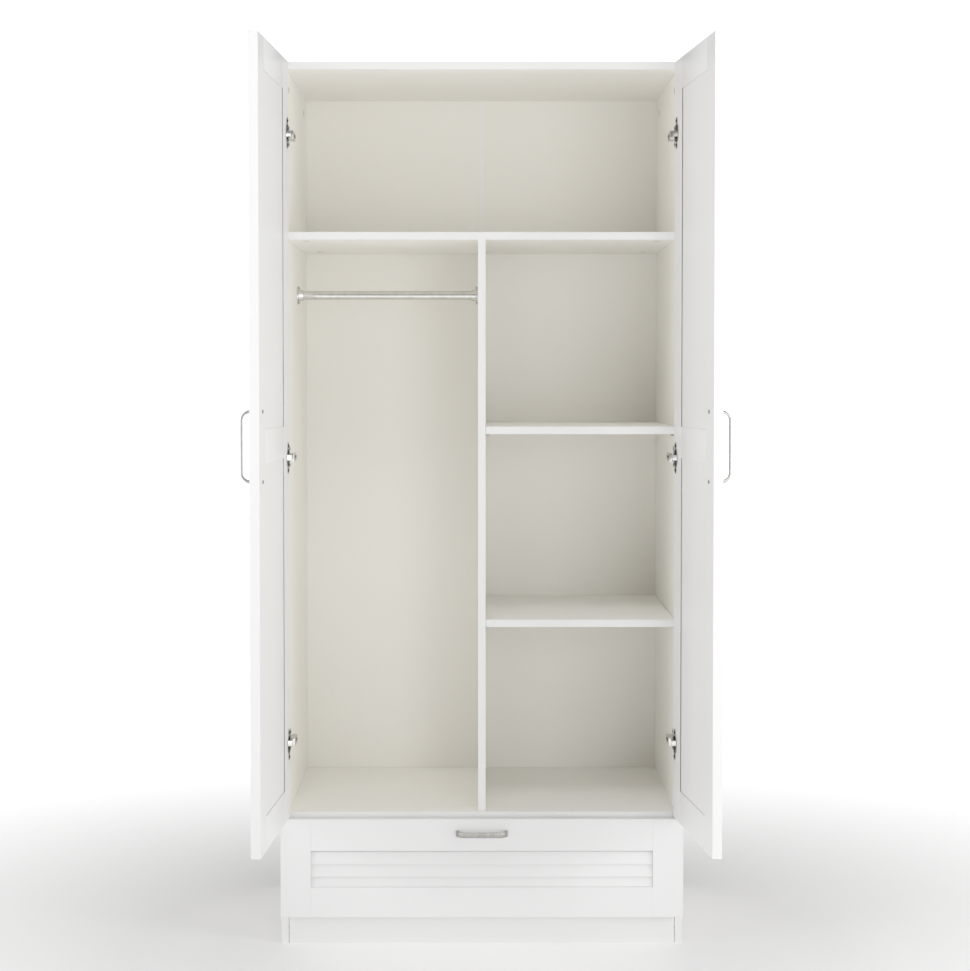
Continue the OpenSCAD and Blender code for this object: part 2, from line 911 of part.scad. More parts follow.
module right_door_hinge_stile() { door_hinge_stile(RIGHT); }
module right_door_free_stile() { door_free_stile(RIGHT); }
module right_door_top_rail() { door_rail(RIGHT, [top_rail_z, door_top_z]); }
module right_door_middle_rail() { door_rail(RIGHT, [mid_rail_low_z, mid_rail_high_z]); }
module right_door_bottom_rail() { door_rail(RIGHT, [door_bottom_z, bottom_rail_z]); }
module right_door_upper_panel() { door_panel(RIGHT, upper_opening_z); }
module right_door_lower_panel() { door_panel(RIGHT, lower_opening_z); }
module right_door_slats() { door_slats(RIGHT); }
module right_door_handle() { door_handle(RIGHT); }
module right_door_screws() { door_screws(RIGHT); }
module right_hinge_cups() { hinge_cups(RIGHT); }
module right_hinge_pins() { hinge_pins(RIGHT); }

// ---- Drawer ----

drawer_opening_x = [-drawer_inner_stile_x, drawer_inner_stile_x];
drawer_opening_z = [drawer_bottom_rail_z, drawer_top_rail_z];
drawer_panel_y = [front_inner_y - panel_recess - panel_t, front_inner_y - panel_recess];
drawer_slot_y = [drawer_panel_y[0] - slack, front_inner_y - panel_lip];

module drawer_panel_slot() {
    framed_panel(drawer_opening_x, drawer_opening_z, drawer_slot_y, panel_tongue + slack);
}

module drawer_stile(side) {
    color(paint_white)
        on_side(side)
            difference() {
                block([-drawer_x, -drawer_inner_stile_x], [front_outer_y, front_inner_y],
                      [drawer_bottom_z, drawer_top_z]);
                drawer_panel_slot();
            }
}

module drawer_left_stile() { drawer_stile(LEFT); }
module drawer_right_stile() { drawer_stile(RIGHT); }

module drawer_rail(z) {
    color(paint_white)
        difference() {
            block(drawer_opening_x, [front_outer_y, front_inner_y], z);
            drawer_panel_slot();
            for (s = [-1, 1])
                translate([s * drawer_handle_pitch / 2, front_inner_y, drawer_handle_z])
                    handle_screw_hole();
        }
}

module drawer_top_rail() { drawer_rail([drawer_top_rail_z, drawer_top_z]); }
module drawer_bottom_rail() { drawer_rail([drawer_bottom_z, drawer_bottom_rail_z]); }

module drawer_front_panel() {
    color(paint_white)
        framed_panel(drawer_opening_x, drawer_opening_z, drawer_panel_y, panel_tongue);
}

module drawer_slats() {
    color(paint_white)
        louvres([slack - drawer_inner_stile_x, drawer_inner_stile_x - slack],
                drawer_opening_z, drawer_panel_y[0] - slack);
}

module drawer_handle() {
    color(nickel)
        translate([0, front_outer_y, drawer_handle_z])
            rotate([0, 90, 0])
                bow_handle(drawer_handle_pitch);
}

module drawer_screws() {
    color(nickel) {
        for (s = [-1, 1])
            translate([s * drawer_handle_pitch / 2, front_inner_y, drawer_handle_z])
                handle_screw(front_t + handle_screw_in);
        for (side = [LEFT, RIGHT], z = drawer_screw_zs)
            on_side(side)
                mirror([1, 0, 0])
                    screw(box_x, box_back_y - drawer_side_t / 2, z, drawer_screw_l);
    }
}

module drawer_screw_holes() {
    for (side = [LEFT, RIGHT], z = drawer_screw_zs)
        on_side(side)
            bar_x(screw_hole_r, -box_x - over, drawer_screw_l + over + slack,
                  box_back_y - drawer_side_t / 2, z);
}

// Thin floor of the drawer, let into its sides and passing under its back
module drawer_floor(play) {
    block([-box_x + drawer_side_t - groove_depth - play, box_x - drawer_side_t + groove_depth + play],
          [front_inner_y + slack - play, box_back_y + play],
          [drawer_floor_z - play, drawer_floor_z + drawer_bottom_t + play]);
}

module drawer_side(side) {
    color(board_white)
        difference() {
            on_side(side)
                block([-box_x, -box_x + drawer_side_t], [front_inner_y, box_back_y],
                      [box_z, box_z + drawer_box_h]);
            drawer_floor(slack);
            drawer_screw_holes();
        }
}

module drawer_left_side() { drawer_side(LEFT); }
module drawer_right_side() { drawer_side(RIGHT); }

module drawer_back() {
    color(board_white)
        difference() {
            block([-box_x + drawer_side_t, box_x - drawer_side_t],
                  [box_back_y - drawer_side_t, box_back_y],
                  [drawer_floor_z + drawer_bottom_t + slack, box_z + drawer_box_h]);
            drawer_screw_holes();
        }
}

module drawer_bottom() {
    color(back_white)
        drawer_floor(0);
}

left_side_panel();
right_side_panel();
top_panel();
upper_shelf();
centre_divider();
bottom_panel();
right_high_shelf();
right_low_shelf();
left_back_board();
right_back_board();
back_joining_strip();
front_plinth();
rear_plinth();
hanging_rail();
rail_sockets();
shelf_pins();
cam_locks();
cam_bolts();
hinge_plates();
hinge_arms();
cabinet_screws();
cabinet_runner_members();
middle_runner_members();
left_door_hinge_stile();
left_door_free_stile();
left_door_top_rail();
left_door_middle_rail();
left_door_bottom_rail();
left_door_upper_panel();
left_door_lower_panel();
left_door_slats();
left_door_handle();
left_door_screws();
left_hinge_cups();
left_hinge_pins();
right_door_hinge_stile();
right_door_free_stile();
right_door_top_rail();
right_door_middle_rail();
right_door_bottom_rail();
right_door_upper_panel();
right_door_lower_panel();
right_door_slats();
right_door_handle();
right_door_screws();
right_hinge_cups();
right_hinge_pins();
drawer_left_stile();
drawer_right_stile();
drawer_top_rail();
drawer_bottom_rail();
drawer_front_panel();
drawer_slats();
drawer_handle();
drawer_screws();
drawer_left_side();
drawer_right_side();
drawer_back();
drawer_bottom();
drawer_runner_members();
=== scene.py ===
import json
import math

import bmesh
import bpy
from mathutils import Matrix, Vector


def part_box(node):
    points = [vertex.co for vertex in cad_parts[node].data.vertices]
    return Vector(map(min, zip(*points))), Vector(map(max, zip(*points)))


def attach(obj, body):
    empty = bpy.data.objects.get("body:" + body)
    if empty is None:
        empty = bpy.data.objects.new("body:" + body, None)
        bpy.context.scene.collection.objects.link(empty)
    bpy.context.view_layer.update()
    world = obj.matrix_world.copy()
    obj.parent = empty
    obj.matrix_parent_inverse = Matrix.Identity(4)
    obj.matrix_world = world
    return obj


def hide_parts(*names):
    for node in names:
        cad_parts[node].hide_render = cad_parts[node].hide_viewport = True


# Metres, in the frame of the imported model: X across, Y into the cabinet, Z up.
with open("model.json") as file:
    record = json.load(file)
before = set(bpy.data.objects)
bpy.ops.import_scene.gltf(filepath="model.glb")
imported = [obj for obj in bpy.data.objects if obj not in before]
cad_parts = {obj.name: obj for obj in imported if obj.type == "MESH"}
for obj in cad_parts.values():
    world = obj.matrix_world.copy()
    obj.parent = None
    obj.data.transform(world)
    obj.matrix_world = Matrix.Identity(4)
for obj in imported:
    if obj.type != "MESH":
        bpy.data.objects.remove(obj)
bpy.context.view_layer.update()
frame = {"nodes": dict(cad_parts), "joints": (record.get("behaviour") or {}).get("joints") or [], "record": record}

record = frame["record"]
body_of = {n: b for b, names in record["behaviour"]["bodies"].items() for n in names}
slot_of = {s["node"]: s["material_slot"] for s in record["subparts"]}
MM = 0.001

# ---------------------------------------------------------------- camera

CAMERA_AT = (-0.0078, -4.3993, 1.1255)
CAMERA_TURN_DEG = -0.184
CAMERA_DIP_DEG = 2.018
CAMERA_LENS = 82.39
CAMERA_SENSOR_MM = 36
CAMERA_REACH = 50
CAMERA_SHIFT_Y = -0.0291


def make_camera():
    data = bpy.data.cameras.new("camera")
    data.lens = CAMERA_LENS
    data.sensor_width = CAMERA_SENSOR_MM
    data.shift_y = CAMERA_SHIFT_Y
    data.clip_end = CAMERA_REACH
    camera = bpy.data.objects.new("camera", data)
    camera.location = CAMERA_AT
    camera.rotation_euler = (math.radians(90 - CAMERA_DIP_DEG), 0, math.radians(CAMERA_TURN_DEG))
    bpy.context.scene.collection.objects.link(camera)
    bpy.context.scene.camera = camera


# ---------------------------------------------------------------- materials


class Shader:
    """A material being built: its nodes, its shader, and its object's coordinates and normals.

    Noise scales are features per metre, and bump distances are metres.
    """

    def __init__(self, name):
        self.material = bpy.data.materials.new(name)
        self.material.use_nodes = True
        self.tree = self.material.node_tree
        self.bsdf = next(n for n in self.tree.nodes if n.type == "BSDF_PRINCIPLED")
        own = self.tree.nodes.new("ShaderNodeTexCoord").outputs
        self.coords = own["Object"]
        self.normals = own["Normal"]

    def node(self, kind, **inputs):
        made = self.tree.nodes.new(kind)
        for key, value in inputs.items():
            made.inputs[key.replace("_", " ")].default_value = value
        return made

    def link(self, out, into):
        self.tree.links.new(out, into)

    def stretched(self, factors):
        scale = self.node("ShaderNodeVectorMath")
        scale.operation = "MULTIPLY"
        scale.inputs[1].default_value = factors
        self.link(self.coords, scale.inputs[0])
        return scale.outputs[0]

    def noise(self, scale, detail=3.0, roughness=0.5, coords=None):
        noise = self.node("ShaderNodeTexNoise", Scale=scale, Detail=detail, Roughness=roughness)
        self.link(coords or self.coords, noise.inputs["Vector"])
        return noise.outputs["Fac"]

    def ranged(self, value, low, high, start=0.3, end=0.7):
        ranged = self.node("ShaderNodeMapRange", From_Min=start, From_Max=end, To_Min=low, To_Max=high)
        self.link(value, ranged.inputs["Value"])
        return ranged.outputs["Result"]

    def mixed(self, factor, first, second):
        mix = self.tree.nodes.new("ShaderNodeMix")
        mix.data_type = "RGBA"
        self.link(factor, mix.inputs["Factor"])
        for socket, value in ((mix.inputs[6], first), (mix.inputs[7], second)):
            if isinstance(value, tuple):
                socket.default_value = (*value, 1)
            else:
                self.link(value, socket)
        return mix.outputs[2]

    def bumped(self, layers):
        normal = None
        for height, distance, strength in layers:
            bump = self.node("ShaderNodeBump", Strength=strength, Distance=distance)
            self.link(height, bump.inputs["Height"])
            if normal:
                self.link(normal, bump.inputs["Normal"])
            normal = bump.outputs["Normal"]
        self.link(normal, self.bsdf.inputs["Normal"])

    def turned_to(self, direction):
        """Where the surface faces a direction of its object, as a factor from 0 to 1."""
        along = self.node("ShaderNodeVectorMath")
        along.operation = "DOT_PRODUCT"
        along.inputs[1].default_value = direction
        self.link(self.normals, along.inputs[0])
        return self.ranged(along.outputs["Value"], 0.0, 1.0, 0.6, 0.8)

    def edges(self):
        """Where the surface is convex and sharp, as a factor up to 0.3; the materials paint a lighter highlight
        there.
        """
        geometry = self.tree.nodes.new("ShaderNodeNewGeometry")
        return self.ranged(geometry.outputs["Pointiness"], 0.0, 0.3, 0.51, 0.6)


def white_board():
    """Melamine-faced board: warm white with a faint pearl grain; surfaces facing the front are neutral edge tape
    painted much darker as shade, and sharp edges get a painted highlight.
    """
    s = Shader("white_board")
    drift = s.ranged(s.noise(2.2, 2.0), 0.0, 1.0)
    tone = s.mixed(drift, (0.9, 0.868, 0.785), (0.92, 0.89, 0.81))
    speckle = s.ranged(s.noise(1400, 2.0), 0.0, 0.35, 0.45, 0.75)
    tone = s.mixed(speckle, tone, (0.875, 0.84, 0.755))
    # Surfaces facing the front: neutral edge tape, its dark grey tone is painted shade.
    front_tape_and_shade = s.mixed(drift, (0.67, 0.67, 0.66), (0.695, 0.695, 0.685))
    tone = s.mixed(s.turned_to((0, -1, 0)), tone, front_tape_and_shade)
    # Lighter colour on sharp edges: a painted highlight.
    s.link(s.mixed(s.edges(), tone, (0.925, 0.92, 0.89)), s.bsdf.inputs["Base Color"])
    s.link(s.ranged(s.noise(260, 4.0), 0.38, 0.52), s.bsdf.inputs["Roughness"])
    s.bumped([(s.noise(900, 3.0), 0.00006, 0.35), (s.noise(14, 2.0), 0.0003, 0.15)])
    s.bsdf.inputs["Specular IOR Level"].default_value = 0.45
    return s.material


def white_paint():
    """Sprayed satin paint on fibreboard: soft orange peel and faint sanding streaks."""
    s = Shader("white_paint")
    drift = s.ranged(s.noise(1.7, 2.0), 0.0, 1.0)
    tone = s.mixed(drift, (0.74, 0.74, 0.738), (0.765, 0.765, 0.763))
    streaks = s.ranged(s.noise(60, 3.0, 0.6, s.stretched((9, 9, 1))), 0.0, 0.25, 0.5, 0.8)
    tone = s.mixed(streaks, tone, (0.725, 0.724, 0.72))
    # Lighter colour on sharp edges: a painted highlight.
    s.link(s.mixed(s.edges(), tone, (0.8, 0.8, 0.798)), s.bsdf.inputs["Base Color"])
    s.link(s.ranged(s.noise(120, 4.0), 0.3, 0.44), s.bsdf.inputs["Roughness"])
    s.bumped([(s.noise(420, 2.0), 0.00008, 0.3), (s.noise(1600, 2.0), 0.00002, 0.3)])
    s.bsdf.inputs["Specular IOR Level"].default_value = 0.5
    return s.material


def thin_board():
    """Lacquered thin fibreboard: a shade darker and duller than the boards, with a fine mottle."""
    s = Shader("thin_board")
    mottle = s.ranged(s.noise(340, 4.0, 0.6, s.stretched((1, 1, 0.45))), 0.0, 1.0)
    tone = s.mixed(mottle, (0.89, 0.857, 0.77), (0.91, 0.88, 0.795))
    drift = s.ranged(s.noise(3.0, 2.0), 0.0, 0.5)
    s.link(s.mixed(drift, tone, (0.92, 0.89, 0.81)), s.bsdf.inputs["Base Color"])
    s.link(s.ranged(s.noise(200, 3.0), 0.5, 0.66), s.bsdf.inputs["Roughness"])
    s.bumped([(s.noise(1300, 3.0), 0.00005, 0.4), (s.noise(9, 2.0), 0.0006, 0.2)])
    return s.material


def white_plastic():
    """Extruded plastic: die lines along its length and a matt grain."""
    s = Shader("white_plastic")
    lines = s.ranged(s.noise(900, 3.0, 0.6, s.stretched((1, 1, 0.01))), 0.0, 1.0)
    s.link(s.mixed(lines, (0.9, 0.885, 0.83), (0.925, 0.91, 0.86)), s.bsdf.inputs["Base Color"])
    s.link(s.ranged(s.noise(500, 3.0), 0.4, 0.55), s.bsdf.inputs["Roughness"])
    s.bumped([(lines, 0.00004, 0.3)])
    return s.material


def metal(name, dark, light, rough, grain=1100, stretch=(1, 1, 1), rim=0.6):
    """Plated metal: cloudy tone, fine lines and smudges in its gloss. Rim is its tint at grazing angles."""
    s = Shader(name)
    cloud = s.ranged(s.noise(90, 4.0), 0.0, 1.0)
    s.link(s.mixed(cloud, dark, light), s.bsdf.inputs["Base Color"])
    s.bsdf.inputs["Metallic"].default_value = 1.0
    s.bsdf.inputs["Specular Tint"].default_value = (rim, rim, rim, 1)
    fine = s.noise(grain, 4.0, 0.6, s.stretched(stretch))
    s.link(s.ranged(fine, rough[0], rough[1]), s.bsdf.inputs["Roughness"])
    s.bumped([(fine, 0.00001, 0.25), (s.noise(160, 2.0), 0.00003, 0.2)])
    return s.material


def zinc_steel():
    """Zinc-plated steel with a crystalline spangle; its near-black tone and dull grazing tint are painted shade
    for the shadowed cam recesses.
    """
    s = Shader("zinc_steel")
    cells = s.node("ShaderNodeTexVoronoi", Scale=420)
    s.link(s.coords, cells.inputs["Vector"])
    spangle = s.ranged(cells.outputs["Distance"], 0.0, 1.0, 0.1, 0.7)
    # Near-black spangled tone, with the dull grazing tint below: painted shade for the shadowed cam recesses.
    s.link(s.mixed(spangle, (0.06, 0.06, 0.058), (0.12, 0.12, 0.117)), s.bsdf.inputs["Base Color"])
    s.bsdf.inputs["Metallic"].default_value = 1.0
    s.bsdf.inputs["Specular Tint"].default_value = (0.15, 0.15, 0.15, 1)
    s.link(s.ranged(s.noise(300, 3.0), 0.25, 0.42), s.bsdf.inputs["Roughness"])
    s.bumped([(s.noise(1500, 3.0), 0.00002, 0.3)])
    return s.material


MATERIALS = {
    "white_board": white_board(),
    "white_paint": white_paint(),
    "thin_board": thin_board(),
    "white_plastic": white_plastic(),
    "satin_nickel": metal("satin_nickel", (0.22, 0.21, 0.19), (0.32, 0.305, 0.28), (0.1, 0.22)),
    "bright_nickel": metal("bright_nickel", (0.6, 0.58, 0.54), (0.7, 0.68, 0.64), (0.12, 0.24)),
    "dark_nickel": metal("dark_nickel", (0.1, 0.097, 0.09), (0.17, 0.163, 0.15), (0.14, 0.28), rim=0.35),
    "black_steel": metal("black_steel", (0.035, 0.035, 0.035), (0.06, 0.06, 0.06), (0.2, 0.35), rim=0.12),
    "chrome": metal("chrome", (0.55, 0.54, 0.5), (0.68, 0.67, 0.63), (0.05, 0.12), 700, (0.05, 1, 1)),
    "zinc_steel": zinc_steel(),
}

# Hinge fittings and door screws differ in finish from the handles. The cabinet and door screws get dark_nickel and
# black_steel, near-black with dull grazing tints, as painted shade for their recessed heads.
FINISH_OF = {
    "hinge_arms": "bright_nickel",
    "hinge_plates": "dark_nickel",
    "cabinet_screws": "dark_nickel",
    "left_hinge_cups": "dark_nickel",
    "right_hinge_cups": "dark_nickel",
    "left_door_screws": "black_steel",
    "right_door_screws": "black_steel",
}

# ---------------------------------------------------------------- mesh helpers

# Points closer than this are one point, and facets flatter to each other than this are one face.
WELD = 0.002 * MM
FLAT_DEG = 0.6
SHARP_EDGE_DEG = 50
BEVEL_SEGMENTS = 3
SOFTENED_SMOOTH_DEG = 18


def closed_frame(body):
    """Takes a body's points with its door closed to where they are at rest."""
    for joint in frame["joints"]:
        if joint["child"] == body and joint["type"] == "hinge":
            pivot = Matrix.Translation(joint["pos_m"])
            turn = Matrix.Rotation(-math.radians(joint["range_deg"][1]), 4, Vector(joint["axis"]))
            return pivot @ turn @ pivot.inverted()
    return Matrix.Identity(4)


FRAMES = {body: closed_frame(body) for body in record["behaviour"]["bodies"]}


def cad_mesh(node):
    """A CAD node's mesh with its door closed, with its facets joined up again."""
    bm = bmesh.new()
    bm.from_mesh(frame["nodes"][node].data)
    bm.transform(FRAMES[body_of[node]].inverted())
    bmesh.ops.remove_doubles(bm, verts=bm.verts, dist=WELD)
    bmesh.ops.dissolve_limit(bm, angle_limit=math.radians(FLAT_DEG), verts=bm.verts, edges=bm.edges)
    return bm


def solids(node):
    """The separate solids of a CAD node, each as a list of its points with its door closed."""
    bm = cad_mesh(node)
    left = set(bm.verts)
    found = []
    while left:
        start = left.pop()
        group = [start]
        for vert in group:
            for edge in vert.link_edges:
                other = edge.other_vert(vert)
                if other in left:
                    left.discard(other)
                    group.append(other)
        found.append([v.co.copy() for v in group])
    bm.free()
    return sorted(found, key=lambda points: tuple(round(c, 4) for c in min(points)))


def extent(points):
    low = Vector(min(p[i] for p in points) for i in range(3))
    high = Vector(max(p[i] for p in points) for i in range(3))
    return low, high


def finished(bm, node, smooth_deg=35):
    """Turns a mesh drawn with the doors closed into the piece that stands for a CAD node."""
    bm.transform(FRAMES[body_of[node]])
    mesh = bpy.data.meshes.new(node + "_finished")
    bm.to_mesh(mesh)
    bm.free()
    mesh.shade_smooth()
    mesh.set_sharp_from_angle(angle=math.radians(smooth_deg))
    mesh.materials.append(MATERIALS[FINISH_OF.get(node, slot_of[node])])
    piece = bpy.data.objects.new(node + "_finished", mesh)
    bpy.context.scene.collection.objects.link(piece)
    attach(piece, body_of[node])
    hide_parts(node)


def soften(node, width, shortest=4 * MM):
    """A CAD node with its long sharp edges rounded."""
    bm = cad_mesh(node)
    edges = [
        e for e in bm.edges
        if len(e.link_faces) == 2 and e.calc_length() > shortest
        and e.calc_face_angle(0) > math.radians(SHARP_EDGE_DEG)
    ]
    bmesh.ops.bevel(bm, geom=edges, offset=width, offset_type="OFFSET", segments=BEVEL_SEGMENTS,
                    profile=0.5, affect="EDGES", clamp_overlap=True)
    finished(bm, node, smooth_deg=SOFTENED_SMOOTH_DEG)


def lathe(profile, segments=32):
    """A solid of revolution about Z, from points (radius, height) that start and end at the axis."""
    bm = bmesh.new()
    rings = []
    for radius, height in profile:
        if radius < 1e-7:
            rings.append([bm.verts.new((0, 0, height))])
            continue
        angles = [2 * math.pi * i / segments for i in range(segments)]
        rings.append([bm.verts.new((radius * math.cos(a), radius * math.sin(a), height))
                      for a in angles])
    for low, high in zip(rings, rings[1:]):
        for i in range(segments):
            j = (i + 1) % segments
            corners = [low[i % len(low)], low[j % len(low)], high[j % len(high)], high[i % len(high)]]
            corners = list(dict.fromkeys(corners))
            if len(corners) > 2:
                bm.faces.new(corners)
    bmesh.ops.recalc_face_normals(bm, faces=bm.faces)
    return bm


def ring_lathe(profile, segments=48):
    """A closed solid of revolution whose profile is a loop that stays off the axis."""
    bm = bmesh.new()
    rings = []
    for radius, height in profile:
        angles = [2 * math.pi * i / segments for i in range(segments)]
        rings.append([bm.verts.new((radius * math.cos(a), radius * math.sin(a), height))
                      for a in angles])
    for low, high in zip(rings, rings[1:] + rings[:1]):
        for i in range(segments):
            j = (i + 1) % segments
            bm.faces.new((low[i], low[j], high[j], high[i]))
    bmesh.ops.recalc_face_normals(bm, faces=bm.faces)
    return bm


def rounded(points, radius):
    """A closed outline of 2-D points with each corner rounded."""
    steps = 4
    out = []
    count = len(points)
    for i, point in enumerate(points):
        here = Vector(point)
        before = (Vector(points[i - 1]) - here).normalized()
        after = (Vector(points[(i + 1) % count]) - here).normalized()
        half = math.acos(max(-1, min(1, before.dot(after)))) / 2
        reach = radius / math.tan(half)
        start, end = here + before * reach, here + after * reach
        for k in range(steps + 1):
            t = k / steps
            out.append(tuple(start * (1 - t) ** 2 + here * 2 * t * (1 - t) + end * t ** 2))
    return out


def box_mesh(low, high):
    bm = bmesh.new()
    made = bmesh.ops.create_cube(bm, size=1)
    size = Vector(high) - Vector(low)
    middle = (Vector(high) + Vector(low)) / 2
    place = Matrix.Translation(middle) @ Matrix.Diagonal((*size, 1))
    bmesh.ops.transform(bm, matrix=place, verts=made["verts"])
    return bm


def add(bm, other, matrix=Matrix.Identity(4)):
    """Adds another mesh, moved by a matrix, and frees it."""
    mesh = bpy.data.meshes.new("part")
    other.to_mesh(mesh)
    other.free()
    mesh.transform(matrix)
    bm.from_mesh(mesh)
    bpy.data.meshes.remove(mesh)
    return bm


def cut(bm, tool):
    """A mesh minus another."""
    pair = []
    for source in (bm, tool):
        mesh = bpy.data.meshes.new("cut")
        source.to_mesh(mesh)
        source.free()
        pair.append(bpy.data.objects.new("cut", mesh))
        bpy.context.scene.collection.objects.link(pair[-1])
    modifier = pair[0].modifiers.new("cut", "BOOLEAN")
    modifier.operation = "DIFFERENCE"
    modifier.solver = "EXACT"
    modifier.use_self = True
    modifier.object = pair[1]
    graph = bpy.context.evaluated_depsgraph_get()
    result = bmesh.new()
    result.from_object(pair[0], graph)
    for item in pair:
        mesh = item.data
        bpy.data.objects.remove(item)
        bpy.data.meshes.remove(mesh)
    return result


CROSS_TAPER_ALONG = 0.45
CROSS_TAPER_ACROSS = 0.7


def cross_cutter(span, width, depth, top):
    """A tapering cross, pointing down from a height, that cuts a driver recess."""
    bm = bmesh.new()
    for turn in (0, 90):
        arm = box_mesh((-span / 2, -width / 2, top - depth), (span / 2, width / 2, top + depth))
        for vert in arm.verts:
            if vert.co.z < top:
                vert.co.x *= CROSS_TAPER_ALONG
                vert.co.y *= CROSS_TAPER_ACROSS
        add(bm, arm, Matrix.Rotation(math.radians(turn), 4, "Z"))
    return bm


def facing(direction):
    """A rotation that turns +Z to a direction."""
    return Vector(direction).to_track_quat("Z", "Y").to_matrix().to_4x4()


# ---------------------------------------------------------------- fasteners


def stepped(points):
    """Reads a stepped round solid: its head's outer centre, the direction it faces, and its sizes."""
    low, high = extent(points)
    size = high - low
    axis = max(range(3), key=lambda i: size[i])
    middle = (low + high) / 2
    spans = {}
    for sign, end in ((-1, low[axis]), (1, high[axis])):
        near = [p for p in points if abs(p[axis] - end) < 0.1 * MM]
        spans[sign] = max((p - middle).length ** 2 - (p[axis] - middle[axis]) ** 2 for p in near) ** 0.5
    sign = 1 if spans[1] > spans[-1] else -1
    top = middle.copy()
    top[axis] = high[axis] if sign > 0 else low[axis]
    direction = Vector((0, 0, 0))
    direction[axis] = sign
    wide = [p for p in points
            if ((p - middle).length ** 2 - (p[axis] - middle[axis]) ** 2) ** 0.5 > 0.9 * spans[sign]]
    thickness = max(abs(p[axis] - top[axis]) for p in wide)
    return top, direction, spans[sign], thickness, spans[-sign], size[axis]


THREAD_PITCH = 0.9 * MM
SPIN_STEP_DEG = 37
screw_templates = {}


def screw_mesh(head_r, head_t, shank_r, length):
    """A pan-head screw with its head's top at the origin, facing +Z, with a cross recess and a thread."""
    key = tuple(round(v, 5) for v in (head_r, head_t, shank_r, length))
    if key not in screw_templates:
        profile = [(0, 0), (0.55 * head_r, -0.04 * head_t), (0.82 * head_r, -0.16 * head_t),
                   (0.96 * head_r, -0.42 * head_t), (head_r, -0.72 * head_t), (0.97 * head_r, -head_t),
                   (shank_r, -head_t)]
        turns = int((length - head_t - 2 * MM) / THREAD_PITCH)
        for i in range(turns):
            z = -head_t - 0.5 * MM - i * THREAD_PITCH
            profile += [(0.82 * shank_r, z), (0.82 * shank_r, z - 0.25 * THREAD_PITCH),
                        (shank_r, z - 0.5 * THREAD_PITCH), (shank_r, z - 0.6 * THREAD_PITCH)]
        profile += [(0.6 * shank_r, -length + 0.4 * MM), (0, -length)]
        body = cut(lathe(profile, 28), cross_cutter(1.15 * head_r, 0.27 * head_r, 0.6 * head_t, 0))
        mesh = bpy.data.meshes.new("screw")
        body.to_mesh(mesh)
        body.free()
        screw_templates[key] = mesh
    return screw_templates[key]


def screws(node):
    bm = bmesh.new()
    for i, points in enumerate(solids(node)):
        top, direction, head_r, head_t, shank_r, length = stepped(points)
        mesh = screw_mesh(head_r, head_t, shank_r, length).copy()
        spin = Matrix.Rotation(math.radians(SPIN_STEP_DEG * i % 90), 4, "Z")
        mesh.transform(Matrix.Translation(top) @ facing(direction) @ spin)
        bm.from_mesh(mesh)
        bpy.data.meshes.remove(mesh)
    finished(bm, node)


def cam_locks(node):
    """Die-cast cam discs with a cross recess and a pointer on the face."""
    bm = bmesh.new()
    for points in solids(node):
        low, high = extent(points)
        size = high - low
        axis = min(range(3), key=lambda i: size[i])
        depth, radius = size[axis], max(size) / 2
        rim = 0.5 * MM
        profile = [(0, 0), (radius - 1.4 * MM, 0), (radius - 1.1 * MM, -0.25 * MM), (radius - 0.8 * MM, 0),
                   (radius - rim, 0), (radius, -rim), (radius, rim - depth), (radius - rim, -depth),
                   (0, -depth)]
        cam = cut(lathe(profile, 40), cross_cutter(0.85 * radius, 0.2 * radius, 2.2 * MM, 0))
        pointer = box_mesh((0.56 * radius, -0.5 * MM, -0.4 * MM), (0.78 * radius, 0.5 * MM, 0.4 * MM))
        cam = cut(cam, pointer)
        cam = cut(cam, cross_cutter(0.85 * radius, 0.2 * radius, -2.2 * MM, -depth))
        top = (low + high) / 2
        top[axis] = high[axis]
        direction = Vector((0, 0, 0))
        direction[axis] = 1
        add(bm, cam, Matrix.Translation(top) @ facing(direction))
    finished(bm, node)


def shelf_pins(node):
    bm = bmesh.new()
    for points in solids(node):
        low, high = extent(points)
        radius, half = (high.z - low.z) / 2, (high.x - low.x) / 2
        tip = 0.8 * MM
        profile = [(0, -half), (radius - tip, -half), (radius - 0.3 * tip, -half + 0.3 * tip),
                   (radius, -half + tip), (radius, half - tip), (radius - 0.3 * tip, half - 0.3 * tip),
                   (radius - tip, half), (0, half)]
        add(bm, lathe(profile, 28), Matrix.Translation((low + high) / 2) @ facing((1, 0, 0)))
    finished(bm, node)


# ---------------------------------------------------------------- hanging rail

TUBE_WALL = 1 * MM
TUBE_PLAY = 0.1 * MM


def hanging_rail(node):
    low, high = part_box(node)
    radius, half = (high.z - low.z) / 2, (high.x - low.x) / 2
    inner, lip = radius - TUBE_WALL, 0.3 * MM
    profile = [(inner, lip - half), (inner + lip, -half), (radius - lip, -half), (radius, lip - half),
               (radius, half - lip), (radius - lip, half), (inner + lip, half), (inner, half - lip)]
    bm = ring_lathe(profile, 64)
    bm.transform(Matrix.Translation((low + high) / 2) @ facing((1, 0, 0)))
    finished(bm, node)


